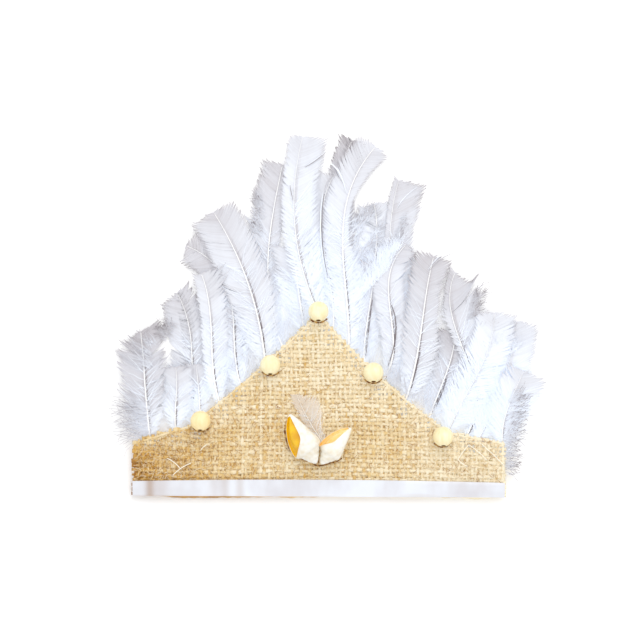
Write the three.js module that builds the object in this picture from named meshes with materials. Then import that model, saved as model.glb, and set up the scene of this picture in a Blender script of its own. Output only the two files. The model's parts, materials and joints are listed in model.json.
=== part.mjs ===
import * as THREE from "three";

// A feathered headdress, lying flat on its back: two peaked panels of open sacking with white feathers
// held between them, a ribbon along the brow, wooden beads on the peaked edge and two small sea shells.
// Millimetres. X runs across the brow, Y from the brow to the feather tips, Z out of the front.
// The origin is the middle of the underside of the elastic that holds the headdress on.

// Panels of sacking
const panelHalfWidth = 111.5;
const peakRise = 110.7;
const shoulderAcross = 78;
const leftShoulderRise = 43.5;
const rightShoulderRise = 39.6;
const leftSag = 2.4;
const rightSag = 4.2;
const endRise = 33.3;
const clothWall = 1.2;
const backingStep = 0.9;
const backingDrop = 1.5;
const clothSlope = 0.3;
const panelColumns = 40;
const lowRowStep = 9;
const highRowShares = [0.24, 0.48, 0.7, 0.86, 1];

// Elastic behind the brow
const bandLength = 215;
const bandWidth = 10;
const bandWall = 1;
const bandRise = 12;

// Ribbon along the brow
const ribbonWidth = 9;
const ribbonWall = 0.8;
const ribbonArch = 1.4;
const ribbonSlant = 1.6;
const ribbonLift = 0.3;
const ribbonColumns = 24;

// Beads
const beadDiameter = 12;
const beadBore = 3;
const beadSides = 14;
const beadArcSteps = 6;
const beadTilt = THREE.MathUtils.degToRad(-24);

// Feathers
const featherReach = 120;
const vaneHalfWidth = 12;
const vaneWall = 0.6;
const quillWidth = 1.8;
const quillHeight = 1.5;
const rootDepth = 15;
const rootShare = 0.36;
const barbSlant = 0.7;
const lockNotch = 0.86;
const featherSlope = 0.5;
const curlRise = 4;
const vaneRimShare = 0.8;
const quillFootShare = 0.7;
const quillTipWidthShare = 0.5;
const quillTipHeightShare = 0.65;

// Small feather behind the shells
const sprigReach = 29;
const sprigHalfWidth = 8;
const sprigRoot = 5;
const sprigAcross = -0.013;
const sprigRise = 0.328;

// Shells
const shellLength = 32;
const shellHalfWidth = 8;
const shellDepthShare = 0.82;
const shellWallPoints = 13;
const shellWallStart = 75;
const shellWallEnd = 370;
const shellLipFlare = 0.12;

// Makes the widest place of the s-shaped sway as wide as the table says
const swayScale = 6 * Math.sqrt(3);

// Gap between pieces that touch, and the cell of the map that they are stacked on
const restGap = 0.3;
const cell = 1;

// Where beads sit along the peaked edge, as shares of the half width and of the panel's own rise there
const beadColumns = ["across", "rise"];
const beadRows = [
  [0.0, 1.008],
  [-0.257, 0.952],
  [0.293, 0.98],
  [-0.629, 0.941],
  [0.665, 0.878],
];

// One row for each feather, from the lowest to the highest in the pile. across is a share of the panel's
// half width, lean is in degrees, reach is a share of featherReach, bow and sway are shares of its own
// reach, left and right are shares of vaneHalfWidth, cut slants the tip, curl is a share of curlRise.
const featherColumns = ["across", "lean", "reach", "bow", "sway", "left", "right", "cut", "curl"];
const featherRows = [
  [-0.67, -8, 0.65, 0.05, -0.02, 1.45, 0.8, 0, 0],
  [-0.443, -8, 0.73, 0.01, 0, 0.75, 0.75, 0, 0],
  [0.07, 5, 0.96, -0.02, 0.03, 0.6, 0.8, 0, 0],
  [0.24, 4, 0.79, 0.02, -0.02, 0.75, 0.75, 0, 0],
  [0.36, 4, 1.02, -0.01, 0.02, 0.55, 1.45, 0, 0],
  [0.975, 15, 0.56, -0.02, 0.01, 0.8, 0.7, 0, 0],
  [-0.193, 0, 0.92, -0.08, -0.01, 1.25, 0.6, 0, 0.2],
  [-0.08, -8, 0.41, 0, 0, 1.1, 0.7, -0.2, 0.4],
  [0.08, 0, 0.77, -0.06, 0.03, 0.85, 0.85, 0, 0.4],
  [-0.42, -22, 0.72, 0.14, -0.05, 0.95, 0.95, 0, 0.6],
  [-0.637, -5, 0.26, 0.01, 0, 0.75, 0.7, 0, 0.3],
  [0.244, 6, 0.5, 0, -0.01, 0.75, 0.75, 0, 0.3],
  [0.597, 17, 0.45, 0.04, -0.01, 0.9, 0.9, 0, 0.4],
  [0.8, -4, 0.78, 0.02, 0.06, 0.6, 1.5, 0, 0.5],
  [0.867, 18, 0.61, 0.05, 0, 1.1, 1.1, 0, 0.6],
  [0, -5, 0.88, -0.09, 0, 0.9, 1.3, 0, 1],
  [0.162, 4, 1.05, -0.05, 0.02, 0.55, 1.35, -0.15, 1],
  [-0.287, -19, 0.8, 0.06, 0, 1.35, 1.35, 0, 0.8],
  [-0.535, -8, 0.65, 0.01, -0.02, 0.95, 0.9, 0, 0.7],
  [-0.77, 0, 0.31, 0.01, -0.01, 0.75, 0.85, 0, 0.4],
  [-0.909, -5, 0.53, 0, 0, 1.5, 1.3, 0, 0.5],
  [0.35, 10, 0.69, -0.04, 0.06, 0.75, 0.8, 0, 0.8],
  [0.471, 11, 0.73, 0.01, 0.01, 0.95, 1.25, -0.1, 0.8],
  [0.7, 21, 0.64, 0.05, -0.02, 1.1, 1.1, 0, 0.7],
  [0.988, 17, 0.37, -0.06, -0.01, 0.9, 0.8, 0, 0.4],
];

// Stations along a vane, as shares of its reach, and its width there as a share of its full width
const vaneColumns = ["along", "width"];
const vaneRows = [
  [0, 0.12],
  [0.05, 0.45],
  [0.12, 0.7],
  [0.2, 0.84],
  [0.29, 0.92],
  [0.38, 0.97],
  [0.48, 1],
  [0.58, 1],
  [0.67, 1],
  [0.76, 0.98],
  [0.84, 0.95],
  [0.92, 0.9],
  [1, 0.05],
];

// Sections of a shell from its narrow mouth end to the tip of its spire: along is a share of its length,
// girth of its half width, and mouth says how far the opening is spread there
const shellColumns = ["along", "girth", "mouth"];
const shellRows = [
  [0, 0.1, 0.1],
  [0.05, 0.24, 0.6],
  [0.14, 0.44, 0.9],
  [0.26, 0.64, 1],
  [0.4, 0.84, 1],
  [0.53, 0.97, 0.9],
  [0.63, 1, 0.6],
  [0.67, 0.84, 0.2],
  [0.74, 0.74, 0],
  [0.77, 0.56, 0],
  [0.83, 0.5, 0],
  [0.86, 0.36, 0],
  [0.91, 0.3, 0],
  [0.94, 0.18, 0],
  [1, 0.05, 0],
];

// The lip and the inside of the mouth round a section of a shell: the angle in degrees, and how far the
// wall is drawn in there, as a share of the girth, where the mouth is fully spread
const mouthColumns = ["angle", "drawnIn"];
const mouthRows = [
  [381, 0.06],
  [392, 0.34],
  [405, 0.52],
  [418, 0.5],
  [427, 0.3],
];

// Where the two shells lie: the place of the mouth end and the spire, as shares of the half width and of
// the peak's rise, and the turn about their own axis in degrees
const shellPlaceColumns = ["name", "mouthAcross", "mouthRise", "spireAcross", "spireRise", "roll"];
const shellPlaceRows = [
  ["shell_left", -0.158, 0.447, -0.019, 0.192, 25],
  ["shell_right", 0.19, 0.382, 0.028, 0.187, 50],
];

const colours = {
  sacking: 0xd8c49a,
  backing: 0x9a7446,
  feather: 0xf1f3f8,
  ribbon: 0xf2f1f5,
  wood: 0xf3e6bd,
  shell: 0xf4ead6,
  elastic: 0xe6e4e0,
};

function table(columns, rows) {
  return rows.map((row) => Object.fromEntries(columns.map((name, i) => [name, row[i]])));
}

function mix(a, b, share) {
  return a + (b - a) * share;
}

// Rise of the panel's upper edge above its lower edge, at x
function edgeRise(x) {
  const across = Math.abs(x);
  const shoulderRise = x < 0 ? leftShoulderRise : rightShoulderRise;
  const sag = x < 0 ? leftSag : rightSag;
  if (across < shoulderAcross) {
    const share = across / shoulderAcross;
    return mix(peakRise, shoulderRise, share) - 4 * sag * share * (1 - share);
  }
  return mix(shoulderRise, endRise, (across - shoulderAcross) / (panelHalfWidth - shoulderAcross));
}

// A map of how high the pile stands, one value for each square cell of the floor
class HeightMap {
  constructor() {
    this.tops = new Map();
  }

  key(i, j) {
    return i * 4096 + j;
  }

  mark(x, y, z) {
    const key = this.key(Math.floor(x / cell), Math.floor(y / cell));
    this.tops.set(key, Math.max(this.tops.get(key) ?? 0, z));
  }

  // Highest top at a point and in the cells round it
  at(x, y) {
    const i = Math.floor(x / cell);
    const j = Math.floor(y / cell);
    let top = 0;
    for (let a = i - 1; a <= i + 1; a++) {
      for (let b = j - 1; b <= j + 1; b++) {
        top = Math.max(top, this.tops.get(this.key(a, b)) ?? 0);
      }
    }
    return top;
  }

  // Highest top under a quad given by its four corners
  under(a, b, c, d) {
    const long = Math.max(a.distanceTo(b), b.distanceTo(c), c.distanceTo(d), d.distanceTo(a));
    const steps = Math.max(1, Math.ceil(long / cell));
    let top = 0;
    for (let i = 0; i <= steps; i++) {
      for (let j = 0; j <= steps; j++) {
        const u = i / steps;
        const v = j / steps;
        const x = mix(mix(a.x, b.x, u), mix(d.x, c.x, u), v);
        const y = mix(mix(a.y, b.y, u), mix(d.y, c.y, u), v);
        top = Math.max(top, this.at(x, y));
      }
    }
    return top;
  }

  // Adds a mesh to the pile
  cover(mesh) {
    mesh.updateMatrixWorld(true);
    const places = mesh.geometry.toNonIndexed().getAttribute("position");
    const corners = [new THREE.Vector3(), new THREE.Vector3(), new THREE.Vector3()];
    for (let i = 0; i < places.count; i += 3) {
      corners.forEach((p, k) => p.fromBufferAttribute(places, i + k).applyMatrix4(mesh.matrixWorld));
      const [a, b, c] = corners;
      const steps = Math.max(1, Math.ceil((2 * Math.max(a.distanceTo(b), b.distanceTo(c))) / cell));
      for (let m = 0; m <= steps; m++) {
        for (let n = 0; n <= steps - m; n++) {
          const p = a.clone().lerp(b, m / steps);
          p.addScaledVector(c, n / steps).addScaledVector(a, -n / steps);
          this.mark(p.x, p.y, p.z);
        }
      }
    }
  }

  // How far a mesh has to be lifted to lie on the pile without touching it
  lift(mesh) {
    mesh.updateMatrixWorld(true);
    const places = mesh.geometry.getAttribute("position");
    const p = new THREE.Vector3();
    let lift = -Infinity;
    for (let i = 0; i < places.count; i++) {
      p.fromBufferAttribute(places, i).applyMatrix4(mesh.matrixWorld);
      lift = Math.max(lift, this.at(p.x, p.y) + restGap - p.z);
    }
    return lift;
  }
}

function geometryOf(points, faces) {
  const geometry = new THREE.BufferGeometry();
  geometry.setAttribute("position", new THREE.Float32BufferAttribute(points.flatMap((p) => p.toArray()), 3));
  geometry.setIndex(faces.flat());
  geometry.computeVertexNormals();
  return geometry;
}

// A closed body through rings with as many points each, capped at both ends
function loft(rings) {
  const count = rings[0].length;
  const points = rings.flat();
  const faces = [];
  for (let r = 0; r + 1 < rings.length; r++) {
    for (let i = 0; i < count; i++) {
      const next = (i + 1) % count;
      const [a, b, c, d] = [r * count + i, r * count + next, (r + 1) * count + next, (r + 1) * count + i];
      faces.push([a, b, c], [a, c, d]);
    }
  }
  const last = (rings.length - 1) * count;
  for (let i = 1; i + 1 < count; i++) {
    faces.push([0, i + 1, i], [last, last + i, last + i + 1]);
  }
  return geometryOf(points, faces);
}

// A closed sheet over a grid of points on its underside, columns[i][j] with x rising in i and y in j
function sheet(columns, wall) {
  const across = columns.length;
  const up = columns[0].length;
  const under = columns.flat();
  const over = under.map((p) => new THREE.Vector3(p.x, p.y, p.z + wall));
  const index = (i, j, top) => (top ? under.length : 0) + i * up + j;
  const faces = [];
  for (let i = 0; i + 1 < across; i++) {
    for (let j = 0; j + 1 < up; j++) {
      const corners = [[i, j], [i + 1, j], [i + 1, j + 1], [i, j + 1]];
      const [a, b, c, d] = corners.map(([m, n]) => index(m, n, true));
      const [e, f, g, h] = corners.map(([m, n]) => index(m, n, false));
      faces.push([a, b, c], [a, c, d], [e, g, f], [e, h, g]);
    }
  }
  const rim = [];
  for (let i = 0; i + 1 < across; i++) rim.push([i, 0]);
  for (let j = 0; j + 1 < up; j++) rim.push([across - 1, j]);
  for (let i = across - 1; i > 0; i--) rim.push([i, up - 1]);
  for (let j = up - 1; j > 0; j--) rim.push([0, j]);
  rim.forEach(([i, j], k) => {
    const [m, n] = rim[(k + 1) % rim.length];
    const [a, b, c, d] = [index(i, j, false), index(m, n, false), index(m, n, true), index(i, j, true)];
    faces.push([a, b, c], [a, c, d]);
  });
  return geometryOf([...under, ...over], faces);
}

// Lays a grid of points on the pile, no steeper than slope
function drape(columns, pile, gap, slope) {
  const across = columns.length;
  const up = columns[0].length;
  for (let i = 0; i + 1 < across; i++) {
    for (let j = 0; j + 1 < up; j++) {
      const corners = [columns[i][j], columns[i + 1][j], columns[i + 1][j + 1], columns[i][j + 1]];
      const top = pile.under(...corners);
      const rest = top > 0 ? top + gap : 0;
      corners.forEach((p) => (p.z = Math.max(p.z, rest)));
    }
  }
  const ease = (p, q) => {
    const run = Math.hypot(p.x - q.x, p.y - q.y) * slope;
    p.z = Math.max(p.z, q.z - run);
    q.z = Math.max(q.z, p.z - run);
  };
  for (let pass = 0; pass < 3; pass++) {
    for (let i = 0; i < across; i++) {
      for (let j = 0; j < up; j++) {
        if (i + 1 < across) ease(columns[i][j], columns[i + 1][j]);
        if (j + 1 < up) ease(columns[i][j], columns[i][j + 1]);
      }
    }
  }
}

function meshOf(name, geometry, colour, roughness) {
  const material = new THREE.MeshStandardMaterial({ color: colour, roughness, metalness: 0 });
  const mesh = new THREE.Mesh(geometry, material);
  mesh.name = name;
  return mesh;
}

// Grid of a peaked panel, moved by shift and with its upper edge lowered by drop
function panelGrid(shiftX, shiftY, drop) {
  const lowTop = bandRise + bandWidth / 2 + lowRowStep;
  const lowRows = [0, bandRise - bandWidth / 2, bandRise + bandWidth / 2, lowTop];
  const columns = [];
  for (let i = 0; i <= panelColumns; i++) {
    const x = mix(-panelHalfWidth, panelHalfWidth, i / panelColumns);
    const top = edgeRise(x) - drop;
    const rises = [...lowRows, ...highRowShares.map((share) => mix(lowTop, top, share))];
    columns.push(rises.map((rise) => new THREE.Vector3(x + shiftX, rise - bandRise + shiftY, 0)));
  }
  return columns;
}

// Spine of a feather: its place and heading at a share of its reach, below 0 along the straight root
function spineAt(row, reach, foot, along) {
  const lean = THREE.MathUtils.degToRad(row.lean);
  const ahead = new THREE.Vector2(Math.sin(lean), Math.cos(lean));
  const side = new THREE.Vector2(ahead.y, -ahead.x);
  const s = Math.max(along, 0);
  const bow = 4 * row.bow;
  const sway = swayScale * row.sway;
  const off = bow * s * (1 - s) + sway * s * (1 - s) * (1 - 2 * s);
  const turn = bow * (1 - 2 * s) + sway * (1 - 6 * s + 6 * s * s);
  const heading = ahead.clone().addScaledVector(side, turn).normalize();
  const place = foot.clone().addScaledVector(ahead, s * reach).addScaledVector(side, off * reach);
  place.addScaledVector(heading, Math.min(along, 0) * reach);
  return { place, heading, side: new THREE.Vector2(heading.y, -heading.x) };
}

// A feather as a thin vane with a raised quill, laid on the pile
function featherGeometry(row, foot, sizes, pile) {
  const stations = [{ along: -sizes.root / sizes.reach, width: 0 }, ...table(vaneColumns, vaneRows)];
  const halfQuill = quillWidth / 2;
  const plans = stations.map((station, k) => {
    const spine = spineAt(row, sizes.reach, foot, station.along);
    const left = (1 - station.along) * sizes.reach;
    const half = (sideSign, share, odd) => {
      const notch = k > 3 && k % 2 === odd ? lockNotch : 1;
      const full = Math.max(halfQuill, share * sizes.halfWidth * station.width * notch);
      return Math.min(full, Math.max(left / (barbSlant - sideSign * row.cut), halfQuill / 2));
    };
    const point = (offset, slant) =>
      spine.place
        .clone()
        .addScaledVector(spine.side, offset)
        .addScaledVector(spine.heading, Math.max(Math.abs(offset) - halfQuill, 0) * slant);
    const halfLeft = half(-1, row.left, 0);
    const halfRight = half(1, row.right, 1);
    const outward = Math.max(station.along, 0);
    const quillThere = halfQuill * mix(1, quillTipWidthShare, outward);
    const foothold = quillFootShare * Math.min(quillThere, halfLeft, halfRight);
    return {
      run: station.along * sizes.reach,
      ridge: quillHeight * mix(1, quillTipHeightShare, outward),
      edgeLeft: point(-halfLeft, barbSlant),
      midLeft: point(-halfLeft / 2 - foothold / 2, barbSlant),
      footLeft: point(-foothold, barbSlant),
      centre: point(0, barbSlant),
      footRight: point(foothold, barbSlant),
      midRight: point(halfRight / 2 + foothold / 2, barbSlant),
      edgeRight: point(halfRight, barbSlant),
    };
  });
  const heights = plans.map((plan) => row.curl * curlRise * Math.max(plan.run / sizes.reach, 0) ** 3);
  for (let k = 0; k + 1 < plans.length; k++) {
    const [a, b] = [plans[k], plans[k + 1]];
    const top = Math.max(
      pile.under(a.edgeLeft, a.centre, b.centre, b.edgeLeft),
      pile.under(a.centre, a.edgeRight, b.edgeRight, b.centre),
    );
    const rest = top > 0 ? top + restGap : 0;
    heights[k] = Math.max(heights[k], rest);
    heights[k + 1] = Math.max(heights[k + 1], rest);
  }
  const eased = heights.map((_, k) =>
    Math.max(...heights.map((z, n) => z - featherSlope * Math.abs(plans[n].run - plans[k].run))),
  );
  const rings = plans.map((plan, k) => {
    const at = (p, rise) => new THREE.Vector3(p.x, p.y, eased[k] + rise);
    return [
      at(plan.edgeLeft, 0),
      at(plan.centre, 0),
      at(plan.edgeRight, 0),
      at(plan.edgeRight, vaneWall * vaneRimShare),
      at(plan.midRight, vaneWall),
      at(plan.footRight, vaneWall),
      at(plan.centre, plan.ridge),
      at(plan.footLeft, vaneWall),
      at(plan.midLeft, vaneWall),
      at(plan.edgeLeft, vaneWall * vaneRimShare),
    ].reverse();
  });
  return loft(rings);
}

function beadGeometry() {
  const radius = beadDiameter / 2;
  const bore = beadBore / 2;
  const start = Math.asin(bore / radius);
  const profile = [];
  for (let i = 0; i <= beadArcSteps; i++) {
    const angle = mix(start, Math.PI - start, i / beadArcSteps);
    profile.push(new THREE.Vector2(radius * Math.sin(angle), -radius * Math.cos(angle)));
  }
  profile.push(profile[0].clone());
  return new THREE.LatheGeometry(profile, beadSides);
}

// A shell along +Y from its mouth end to its spire: each section runs round the outer wall to the lip,
// over it, and down into the mouth
function shellGeometry(length, halfWidth) {
  const mouthPoints = table(mouthColumns, mouthRows);
  const rings = table(shellColumns, shellRows).map((row) => {
    const polar = [];
    for (let i = 0; i < shellWallPoints; i++) {
      const share = i / (shellWallPoints - 1);
      const flare = shellLipFlare * row.mouth * (2 * share ** 2 - 1);
      polar.push([mix(shellWallStart, shellWallEnd, share), 1 + flare]);
    }
    mouthPoints.forEach((point) => polar.push([point.angle, 1 - point.drawnIn * row.mouth]));
    return polar.map(([degrees, share]) => {
      const angle = THREE.MathUtils.degToRad(degrees);
      const reach = share * row.girth * halfWidth;
      const depth = reach * Math.sin(angle) * shellDepthShare;
      return new THREE.Vector3(reach * Math.cos(angle), row.along * length, depth);
    });
  });
  return loft(rings.map((ring) => ring.reverse()));
}

const pile = new HeightMap();
const headdress = new THREE.Group();

function add(mesh) {
  headdress.add(mesh);
  pile.cover(mesh);
}

// Elastic and backing
const band = meshOf("elastic_band", new THREE.BoxGeometry(bandLength, bandWidth, bandWall), colours.elastic, 0.8);
band.position.z = bandWall / 2;
add(band);

const backGrid = panelGrid(backingStep, -backingStep, backingDrop);
drape(backGrid, pile, restGap, clothSlope);
add(meshOf("back_panel", sheet(backGrid, clothWall), colours.backing, 0.95));

// Feathers, from the lowest up
table(featherColumns, featherRows).forEach((row, i) => {
  const x = row.across * panelHalfWidth;
  const foot = new THREE.Vector2(x, edgeRise(x) - bandRise);
  const root = Math.min(rootDepth, rootShare * edgeRise(x));
  const sizes = { reach: row.reach * featherReach, halfWidth: vaneHalfWidth, root };
  const name = "feather_" + String(i + 1).padStart(2, "0");
  add(meshOf(name, featherGeometry(row, foot, sizes, pile), colours.feather, 0.9));
});

// Front panel over the quills
const frontGrid = panelGrid(0, 0, 0);
drape(frontGrid, pile, restGap, clothSlope);
add(meshOf("front_panel", sheet(frontGrid, clothWall), colours.sacking, 0.95));

// Ribbon along the lower edge
const ribbonGrid = [];
for (let i = 0; i <= ribbonColumns; i++) {
  const across = mix(-1, 1, i / ribbonColumns);
  const low = ribbonLift - (across * ribbonSlant) / 2 - bandRise;
  const arch = ribbonArch * (1 - across ** 2);
  const rises = [0, 0.5, 1].map((share) => low + share * (ribbonWidth + arch));
  ribbonGrid.push(rises.map((y) => new THREE.Vector3(across * panelHalfWidth, y, 0)));
}
drape(ribbonGrid, pile, restGap, clothSlope);
add(meshOf("ribbon", sheet(ribbonGrid, ribbonWall), colours.ribbon, 0.45));

// Small feather, then the two shells over its quill
const sprig = { lean: -28, bow: -0.03, sway: 0, left: 0.65, right: 1.5, cut: 0, curl: 0.3 };
const sprigFoot = new THREE.Vector2(sprigAcross * panelHalfWidth, sprigRise * peakRise - bandRise);
const sprigSizes = { reach: sprigReach, halfWidth: sprigHalfWidth, root: sprigRoot };
add(meshOf("shell_feather", featherGeometry(sprig, sprigFoot, sprigSizes, pile), colours.feather, 0.9));

table(shellPlaceColumns, shellPlaceRows).forEach((row) => {
  const mouth = new THREE.Vector2(row.mouthAcross * panelHalfWidth, row.mouthRise * peakRise - bandRise);
  const spire = new THREE.Vector2(row.spireAcross * panelHalfWidth, row.spireRise * peakRise - bandRise);
  const size = mouth.distanceTo(spire) / shellLength;
  const geometry = shellGeometry(size * shellLength, size * shellHalfWidth);
  geometry.rotateY(THREE.MathUtils.degToRad(row.roll));
  const shell = meshOf(row.name, geometry, colours.shell, 0.35);
  shell.position.set(mouth.x, mouth.y, 0);
  shell.rotation.z = Math.atan2(mouth.x - spire.x, spire.y - mouth.y);
  shell.position.z = pile.lift(shell);
  add(shell);
});

// Beads on the peaked edge
table(beadColumns, beadRows).forEach((row, i) => {
  const x = row.across * panelHalfWidth;
  const bead = meshOf("bead_" + (i + 1), beadGeometry(), colours.wood, 0.6);
  bead.rotation.x = beadTilt;
  bead.position.set(x, row.rise * edgeRise(x) - bandRise, 0);
  bead.position.z = pile.lift(bead);
  add(bead);
});

export default headdress;
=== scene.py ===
import json
import math

import bmesh
import bpy
import numpy as np
from mathutils import Matrix, Vector
from mathutils.bvhtree import BVHTree

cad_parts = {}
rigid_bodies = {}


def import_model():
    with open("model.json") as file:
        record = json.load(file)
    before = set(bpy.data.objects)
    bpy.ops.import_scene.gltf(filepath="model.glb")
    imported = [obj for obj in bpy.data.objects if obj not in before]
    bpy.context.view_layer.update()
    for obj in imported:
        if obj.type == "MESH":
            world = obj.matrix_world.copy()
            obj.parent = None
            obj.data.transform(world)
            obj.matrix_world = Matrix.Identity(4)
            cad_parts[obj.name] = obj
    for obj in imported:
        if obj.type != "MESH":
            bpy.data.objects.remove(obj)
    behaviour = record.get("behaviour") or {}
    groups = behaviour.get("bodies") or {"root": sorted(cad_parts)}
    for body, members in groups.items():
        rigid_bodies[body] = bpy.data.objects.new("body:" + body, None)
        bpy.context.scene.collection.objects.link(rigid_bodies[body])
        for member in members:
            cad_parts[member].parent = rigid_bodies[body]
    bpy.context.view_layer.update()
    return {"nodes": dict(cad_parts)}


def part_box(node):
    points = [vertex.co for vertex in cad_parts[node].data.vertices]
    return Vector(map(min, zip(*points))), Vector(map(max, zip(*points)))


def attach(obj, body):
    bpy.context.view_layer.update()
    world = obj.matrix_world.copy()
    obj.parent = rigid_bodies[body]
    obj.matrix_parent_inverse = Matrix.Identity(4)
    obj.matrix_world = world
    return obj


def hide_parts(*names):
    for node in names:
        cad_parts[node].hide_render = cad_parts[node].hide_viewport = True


# A feathered headdress lying flat on its back. Lengths are in millimetres until a mesh is made.
# X runs across the brow, Y from the brow to the feather tips, Z up from the floor.

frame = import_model()
rng = np.random.default_rng(11)
mm = 0.001
print("frame loaded,", len(frame["nodes"]), "nodes")

# Camera, floor and light

studio = {
    "lens": 85,
    "sensor": 36,
    "cameraPlace": (0.0009, 0.0945, 0.911),
    "floorSize": 6,
    "floorDrop": 0.0004,
    "skyStrength": 1.04,
    "bounces": 12,
    "lampSize": 0.7,
    "lampPower": 2.6,
    "lampPlace": (0.16, 0.62, 0.75),
}


def linear(red, green, blue):
    def one(value):
        share = value / 255
        return share / 12.92 if share <= 0.04045 else ((share + 0.055) / 1.055) ** 2.4
    return (one(red), one(green), one(blue), 1)


def linked(name, data):
    made = bpy.data.objects.new(name, data)
    bpy.context.scene.collection.objects.link(made)
    return made


def setStudio():
    scene = bpy.context.scene
    scene.view_settings.view_transform = "Standard"
    scene.view_settings.look = "None"
    scene.cycles.diffuse_bounces = studio["bounces"]
    camera = linked("camera", bpy.data.cameras.new("camera"))
    camera.data.lens = studio["lens"]
    camera.data.sensor_width = studio["sensor"]
    camera.location = studio["cameraPlace"]
    scene.camera = camera
    lamp = linked("lamp", bpy.data.lights.new("lamp", "AREA"))
    lamp.data.size = studio["lampSize"]
    lamp.data.energy = studio["lampPower"]
    lamp.location = studio["lampPlace"]
    aim = Vector((0, 0.08, 0)) - lamp.location
    lamp.rotation_euler = aim.to_track_quat("-Z", "Y").to_euler()
    world = bpy.data.worlds.new("sky")
    world.use_nodes = True
    sky = world.node_tree.nodes["Background"].inputs
    sky["Color"].default_value = (1, 1, 1, 1)
    sky["Strength"].default_value = studio["skyStrength"]
    scene.world = world


setStudio()

# Shader maths: a Wire is a socket that Python's operators work on, a Paint is a material being wired


class Wire:
    def __init__(self, paint, socket):
        self.paint = paint
        self.socket = socket

    def maths(self, operation, first, second):
        return self.paint.node("ShaderNodeMath", {"operation": operation}, {0: first, 1: second})

    def __add__(self, other):
        return self.maths("ADD", self, other)

    def __radd__(self, other):
        return self.maths("ADD", other, self)

    def __sub__(self, other):
        return self.maths("SUBTRACT", self, other)

    def __rsub__(self, other):
        return self.maths("SUBTRACT", other, self)

    def __mul__(self, other):
        return self.maths("MULTIPLY", self, other)

    def __rmul__(self, other):
        return self.maths("MULTIPLY", other, self)


class Paint:
    def __init__(self, name):
        self.material = bpy.data.materials.new(name)
        self.material.use_nodes = True
        self.tree = self.material.node_tree
        self.shader = self.tree.nodes["Principled BSDF"]

    def fill(self, node, sockets):
        for key, value in sockets.items():
            if isinstance(value, Wire):
                self.tree.links.new(value.socket, node.inputs[key])
            else:
                node.inputs[key].default_value = value

    def node(self, kind, settings, sockets, output=0):
        made = self.tree.nodes.new(kind)
        for key, value in settings.items():
            setattr(made, key, value)
        self.fill(made, sockets)
        return Wire(self, made.outputs[output])

    def attribute(self, name):
        return self.node("ShaderNodeAttribute", {"attribute_name": name}, {}, "Fac")

    def noise(self, scale, stretch=None, turn=0, detail=3):
        place = self.node("ShaderNodeTexCoord", {}, {}, "Object")
        if stretch:
            sockets = {"Vector": place, "Rotation": (0, 0, turn), "Scale": stretch}
            place = self.node("ShaderNodeMapping", {}, sockets)
        return self.node("ShaderNodeTexNoise", {}, {"Vector": place, "Scale": scale, "Detail": detail})

    def mix(self, share, low, high):
        return self.node("ShaderNodeMix", {"data_type": "RGBA"}, {0: share, 6: low, 7: high}, 2)

    def band(self, value, low, high):
        sockets = {"Value": value, "From Min": low, "From Max": high}
        return self.node("ShaderNodeMapRange", {"clamp": True}, sockets)

    def bump(self, height, strength, distance):
        return self.node("ShaderNodeBump", {}, {"Height": height, "Strength": strength, "Distance": distance})

    def finish(self, colour, rough, others):
        self.fill(self.shader, {"Base Color": colour, "Roughness": rough, **others})
        return self.material


# Meshes

up = np.array([0.0, 0.0, 1.0])


def meshOf(name, points, faces, tones, kinds, smooth):
    mesh = bpy.data.meshes.new(name)
    points = np.asarray(points, np.float32) * mm
    faces = np.asarray(faces, np.int32)
    mesh.vertices.add(len(points))
    mesh.vertices.foreach_set("co", points.ravel())
    mesh.loops.add(faces.size)
    mesh.loops.foreach_set("vertex_index", faces.ravel())
    mesh.polygons.add(len(faces))
    mesh.polygons.foreach_set("loop_start", np.arange(0, faces.size, 3, dtype=np.int32))
    mesh.polygons.foreach_set("use_smooth", smooth)
    mesh.polygons.foreach_set("material_index", np.asarray(kinds, np.int32))
    mesh.update(calc_edges=True)
    mesh.attributes.new("tone", "FLOAT", "POINT").data.foreach_set("value", np.asarray(tones, np.float32))
    return linked(name, mesh)


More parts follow.
